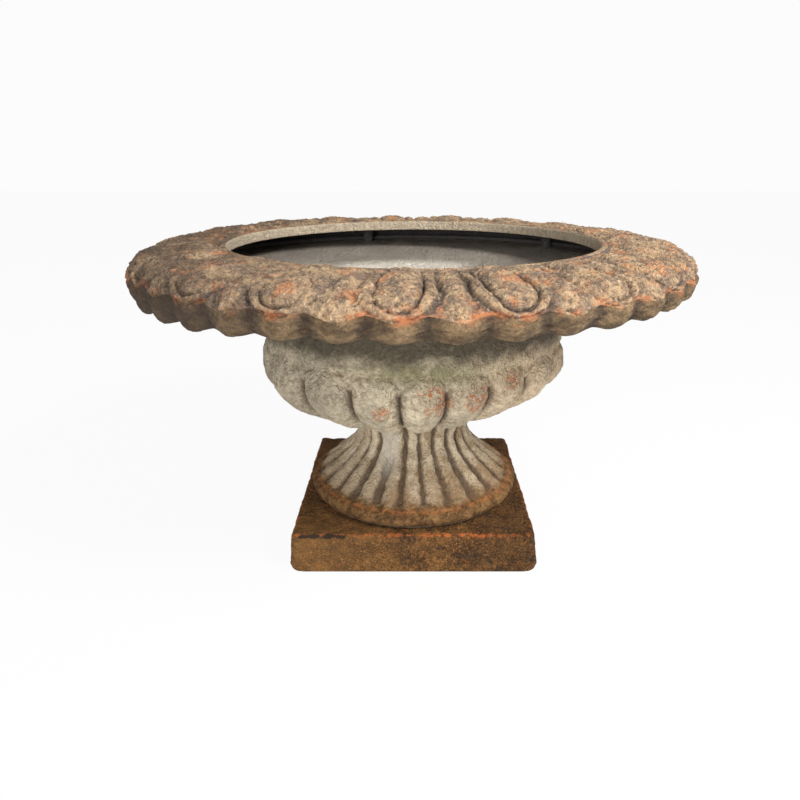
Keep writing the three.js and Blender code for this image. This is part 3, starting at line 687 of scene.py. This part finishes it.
lip_row = np.argmin(np.hypot(reach - lip_start, height - LIP_EDGE))
drip_row = np.argmin(np.hypot(reach - skirt_reach - DRIP_WIDE, height - drip_at))
on_face = (row_number > drip_row) & (row_number < lip_row)
way = shoulder_reach - lip_start + crown_at - SHOULDER_AT
out = (reach - lip_start + crown_at - height) / way
angles = around(EGGS * EGG_COLUMNS)
turns = (angles - EGG_TURN + EGG_SPREAD * np.sin(angles)) * EGGS / (2 * np.pi)
flat_points = at_reach(reach, angles, height)
across = 2 * abs(turns - np.round(turns)) + 0.07 * lumps(flat_points, 0.025, 35.0)

beyond = np.maximum(out - EGG_CENTRE, 0)
from_egg = np.hypot(across / EGG_WIDE, beyond / EGG_LONG)
from_shell = np.hypot(across / SHELL_WIDE, beyond / SHELL_LONG)
egg = np.sqrt(np.clip(1 - from_egg**2, 0, 1))
into_shell = np.clip(np.minimum((from_egg - 1.06) / 0.24, (1 - from_shell) / 0.18), 0, 1)
low_crown = 0.62 + 0.38 * fade(out, 0.20, 0.50)
shell = SHELL_SHARE * low_crown * np.sqrt(1 - (1 - into_shell) ** 2)
dart_end = np.sqrt(np.clip(1 - (np.maximum(out - DART_LONG, 0) / DART_TIP) ** 2, 0, 1))
dart_wide = (0.12 + 0.16 * np.clip(out / DART_LONG, 0, 1)) * dart_end
off_dart = np.minimum(1 - across, 1) / np.maximum(dart_wide, 0.001)
dart = DART_SHARE * low_crown * np.sqrt(np.clip(1 - off_dart**2, 0, 1))
field = FIELD_SHARE * fade(from_shell, 1.0, 1.25)
carved = np.maximum(np.maximum(egg, shell), np.maximum(dart, field))

band_line = BAND_LINE + BAND_WAVE * abs(np.cos(np.pi * across))
band = fade(out, band_line - 0.015, band_line + 0.025) * on_face
band = np.maximum(band, (row_number <= drip_row) & (height < -0.004))
cusp = abs(np.sin(np.pi * across))
scallop = 0.45 * cusp**2 + 0.55 * (1 - np.sqrt(np.maximum(1 - cusp**2, 0)))
above_drip = 0.35 + 0.65 * fade(row_number, drip_row, drip_row + DRIP_ROWS)
lobes = SCALLOP * scallop * above_drip * band + BAND_IN * band
past_lip = fade(reach, lip_start, lip_start + 0.013)
deeper = 0.80 + 0.20 * fade(out, 0.15, 0.50)
worn = 1 - WORN_SHARE + WORN_SHARE * fade(lumps(flat_points, WORN_SIZE, 36.0), -0.35, 0.15)
depth = (CARVING * worn * past_lip * deeper * (1 - carved) * (1 - band) + lobes) * on_face

points = at_reach(reach, angles, seat + height)
grit = 0.3 - 1.1 * abs(lumps(points, 0.011, 32.0)) + 0.8 * lumps(points, 0.0052, 33.0)
grit = grit + 0.7 * lumps(points, 0.0031, 34.0)
gritty_rows = on_face * (1 - 0.6 * band) * fade(row_number, lip_row + 4, lip_row - 2)
swelling = (RIM_LUMP * lumps(points, RIM_LUMP_SIZE, 31.0) + GRIT_DEPTH * grit - 0.0002) * gritty_rows
uneven = -BULGE * np.sin(angles) * np.sin(2 * angles) ** 2 * on_face
points = points + outward(points) * (swelling + uneven - depth)[..., None]
outer_rows = row_number < lip_row
points[..., 2] += SCALLOP_LIFT * scallop * fade(height, 0.002, drip_at + 0.003) * outer_rows
from_left = turned_from(angles, LEFT_TURN)
points[..., 2] -= LEFT_DROP * fade(from_left, LEFT_WIDE, 0) * fade(height, 0.012, drip_at) * outer_rows
points[..., 2] = np.minimum(points[..., 2], high.z)
lip_face = (reach < LIP_INNER + 0.0012) & (height > LIP_BOTTOM - 0.001)
lip_crest = (row_number >= lip_row) * (reach < LIP_OUTER + 0.001) * (height > 0.036)
marks = {
    "hollow": np.clip(depth / CARVING, 0, 1) * (1 - band) + 0.8 * scallop * band,
    "crest": near(out - band_line + 0.012, 0.034) * on_face,
    "band": band,
    "grit": grit * gritty_rows,
    "lip": lip_face,
    "under": (1 - np.clip(on_face + lip_face + lip_crest, 0, 1)) * (1 - band),
}
rim = cast("rim_casting", points, "rusted_iron", **marks)
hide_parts("rim")

lug_low, lug_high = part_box("bowl")[1].z + RIM_GAP, seat + LUG_HIGH
lug_reach = np.array([LUG_REACH, LUG_REACH, THREAD_REACH, THREAD_REACH])
lug_height = np.array([lug_low, lug_high, lug_high, lug_low])
lugs = []
for number, turn in enumerate(screw_turns, start=1):
    points = at_reach(lug_reach, around(LUG_COLUMNS), lug_height)
    points = points + at_reach(SCREW_CIRCLE, np.array([[turn]]), 0.0)
    lugs.append(cast(f"rim_lug_{number}", points, "rusted_iron", under=1.0))
    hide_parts("rim")

gritty = Finish("gritty_rusted_paint", roughness=0.92)
grain = gritty.cloud(0.0030, 7, 11.0, contrast=0.78)
broad = gritty.cloud(0.020, 8, 1.0, contrast=0.7)
tone = gritty.coat(colour(140, 118, 98), (200, 168, 130), broad, 0.40, 0.60)
# Painted shade: the carved hollows and the scallops of the band are painted charcoal.
hollow_shade = gritty.plus(gritty.mark("hollow"), gritty.cloud(0.006, 6, 4.0, contrast=0.72), 0.8)
tone = gritty.coat(tone, (92, 78, 70), hollow_shade, 0.75, 1.35, 0.8)
rust = gritty.plus(gritty.cloud(0.026, 8, 5.0, contrast=0.76), gritty.mark("crest"), 0.03)
tone = gritty.coat(tone, (222, 146, 94), rust, 0.51, 0.64, 0.75)
# Painted shade: darker where the grit sinks.
grit_shade = gritty.plus(gritty.cloud(0.0036, 6, 15.0, contrast=0.75), gritty.mark("grit"), 0.35)
tone = gritty.coat(tone, (74, 62, 56), grit_shade, 0.46, 0.26, 0.50)
tone = gritty.coat(tone, (60, 50, 44), grain, 0.47, 0.37, 0.68)
flecks = gritty.plus(gritty.cloud(0.0026, 7, 17.0, contrast=0.78), gritty.mark("grit"), 0.12)
tone = gritty.coat(tone, (240, 222, 194), flecks, 0.58, 0.72, 0.7)
broad = gritty.cloud(0.02, 7, 8.0, stretch=(1, 1, 2.0), contrast=0.68)
# Painted shade: the band is painted a darker brown than the top where it turns under; its grain and rust are
# its own.
shaded_band_tone = gritty.coat(colour(96, 76, 52), (146, 120, 86), broad, 0.38, 0.62)
shaded_band_tone = gritty.coat(shaded_band_tone, (52, 40, 30), grain, 0.47, 0.35, 0.6)
# Painted shade in the band's scallops.
shaded_band_tone = gritty.coat(shaded_band_tone, (62, 48, 38), hollow_shade, 0.70, 1.30, 0.85)
band_rust = gritty.cloud(0.009, 8, 9.0, contrast=0.76)
shaded_band_tone = gritty.coat(shaded_band_tone, (178, 108, 66), band_rust, 0.58, 0.68, 0.6)
on_band = gritty.plus(gritty.mark("band"), gritty.cloud(0.010, 6, 18.0, contrast=0.7), 0.5)
tone = gritty.layer(tone, shaded_band_tone, gritty.over(on_band, 0.70, 1.0))
# Painted shade: the band is painted darker on the far left.
left_band_shade = gritty.times(gritty.mark("band"), gritty.over(gritty.sideways(), -0.10, -0.30))
tone = gritty.layer(tone, colour(54, 42, 34), gritty.times(left_band_shade, 0.65))
blotches = gritty.over(gritty.cloud(0.034, 8, 14.0, contrast=0.72), 0.50, 0.58)
orange = gritty.times(gritty.mark("crest"), blotches)
tone = gritty.layer(tone, colour(212, 128, 76), gritty.times(orange, 0.72))
# Painted shade: the rim is painted darker, in patches, towards its left.
patchy = gritty.over(gritty.cloud(0.05, 7, 20.0, contrast=0.7), 0.36, 0.56)
left_side_shade = gritty.times(gritty.over(gritty.sideways(), -0.05, -0.30), patchy)
tone = gritty.layer(tone, colour(70, 56, 44), gritty.times(left_side_shade, 0.7))
streaks = gritty.cloud(0.004, 7, 10.0, stretch=(1, 1, 0.25), contrast=0.75)
lip_tone = gritty.coat(colour(184, 164, 138), (212, 196, 170), streaks, 0.30, 0.66)
tone = gritty.layer(tone, lip_tone, gritty.over(gritty.mark("lip"), 0.3, 0.7))
tone = gritty.coat(tone, (112, 108, 106), gritty.mark("under"), 0.3, 0.7)
gritty.rough(grain, 0.0015)
gritty.rough(gritty.cloud(0.0065, 3, 13.0, contrast=0.6, swirl=1.2), 0.0080)
gritty.finish(tone, rim, *lugs)


# ---------------------------------------------------------------------------------------------
# Floor. Pale, plain and wide: the camera sees it nearly white, with a trace of the urn's shadow left
# on it. The ground under the hollow plinth, seen through the drain holes, is a dark brown painted shade.

SEEN_WHITE = 0.94
FLOOR_HALF = 9
FLOOR_GREY = (0.80, 0.80, 0.80, 1)
# A dark brown painted shade for the ground under the plinth.
SHADE_UNDER_PLINTH = (0.30, 0.28, 0.26, 1)

squares = [(-1, -1), (1, -1), (1, 1), (-1, 1)]
corners = [(x * size, y * size, 0) for size in (FLOOR_HALF, hollow_half) for x, y in squares]
round_plinth = [(k, (k + 1) % 4, (k + 1) % 4 + 4, k + 4) for k in range(4)]
floor_mesh = bpy.data.meshes.new("studio_floor")
floor_mesh.from_pydata(corners, [], [*round_plinth, (4, 5, 6, 7)])
floor = bpy.data.objects.new("studio_floor", floor_mesh)
bpy.context.scene.collection.objects.link(floor)


def matte(name, base):
    """A dull plain material for the studio."""
    material = bpy.data.materials.new(name)
    material.use_nodes = True
    shader = material.node_tree.nodes["Principled BSDF"]
    shader.inputs["Base Color"].default_value = base
    shader.inputs["Roughness"].default_value = 0.9
    return material


paper = matte("studio_paper", FLOOR_GREY)
nodes, links = paper.node_tree.nodes, paper.node_tree.links
white = nodes.new("ShaderNodeEmission")
seen = nodes.new("ShaderNodeLightPath")
share = nodes.new("ShaderNodeMath")
share.operation = "MULTIPLY"
share.inputs[1].default_value = SEEN_WHITE
mixed = nodes.new("ShaderNodeMixShader")
links.new(seen.outputs["Is Camera Ray"], share.inputs[0])
links.new(share.outputs[0], mixed.inputs["Fac"])
links.new(nodes["Principled BSDF"].outputs["BSDF"], mixed.inputs[1])
links.new(white.outputs["Emission"], mixed.inputs[2])
links.new(mixed.outputs["Shader"], nodes["Material Output"].inputs["Surface"])
floor_mesh.materials.append(paper)
floor_mesh.materials.append(matte("painted_shade_ground", SHADE_UNDER_PLINTH))
floor_mesh.polygons[4].material_index = 1


# ---------------------------------------------------------------------------------------------
# Light. A white studio: a soft lamp high on the right, a weaker one low and a little to the left
# behind the camera, and an even grey world that the camera sees as white.

LAMPS_AIM = Vector((0, 0, 0.25))
WORLD_LIGHT, WORLD_SEEN = 0.33, 0.97


def soft_lamp(name, place, size, power):
    lamp = bpy.data.lights.new(name, "AREA")
    lamp.size, lamp.energy = size, power
    holder = bpy.data.objects.new(name, lamp)
    holder.location = place
    holder.rotation_euler = (LAMPS_AIM - holder.location).to_track_quat("-Z", "Y").to_euler()
    bpy.context.scene.collection.objects.link(holder)


soft_lamp("key_lamp", (1.35, -1.1, 1.85), size=0.6, power=62)
soft_lamp("fill_lamp", (-0.5, -2.2, 0.75), size=0.9, power=29)

world = bpy.data.worlds.new("studio_air")
world.use_nodes = True
bpy.context.scene.world = world
nodes, links = world.node_tree.nodes, world.node_tree.links
lit_air, seen_air = nodes["Background"], nodes.new("ShaderNodeBackground")
for air, strength in ((lit_air, WORLD_LIGHT), (seen_air, WORLD_SEEN)):
    air.inputs["Color"].default_value = (1, 1, 1, 1)
    air.inputs["Strength"].default_value = strength
path = nodes.new("ShaderNodeLightPath")
either = nodes.new("ShaderNodeMixShader")
links.new(path.outputs["Is Camera Ray"], either.inputs["Fac"])
links.new(lit_air.outputs["Background"], either.inputs[1])
links.new(seen_air.outputs["Background"], either.inputs[2])
links.new(either.outputs["Shader"], nodes["World Output"].inputs["Surface"])


# ---------------------------------------------------------------------------------------------
# Camera. Held about a metre away, looking down on the rim at some twenty degrees, with the urn's
# axis a little right of the picture's middle.

CAMERA_BACK, CAMERA_UP, CAMERA_DOWN = 0.9705, 0.5486, math.radians(20.24)
PICTURE, FOCAL_PIXELS, AXIS_PIXEL = 800, 679, 413.4
SENSOR = 36

lens = bpy.data.cameras.new("camera")
lens.sensor_width = SENSOR
lens.lens = SENSOR * FOCAL_PIXELS / PICTURE
lens.shift_x = (PICTURE / 2 - AXIS_PIXEL) / PICTURE
camera = bpy.data.objects.new("camera", lens)
camera.location = (0, -CAMERA_BACK, CAMERA_UP)
camera.rotation_euler = (math.pi / 2 - CAMERA_DOWN, 0, 0)
bpy.context.scene.collection.objects.link(camera)
bpy.context.scene.camera = camera

bpy.context.scene.view_settings.view_transform = "Standard"
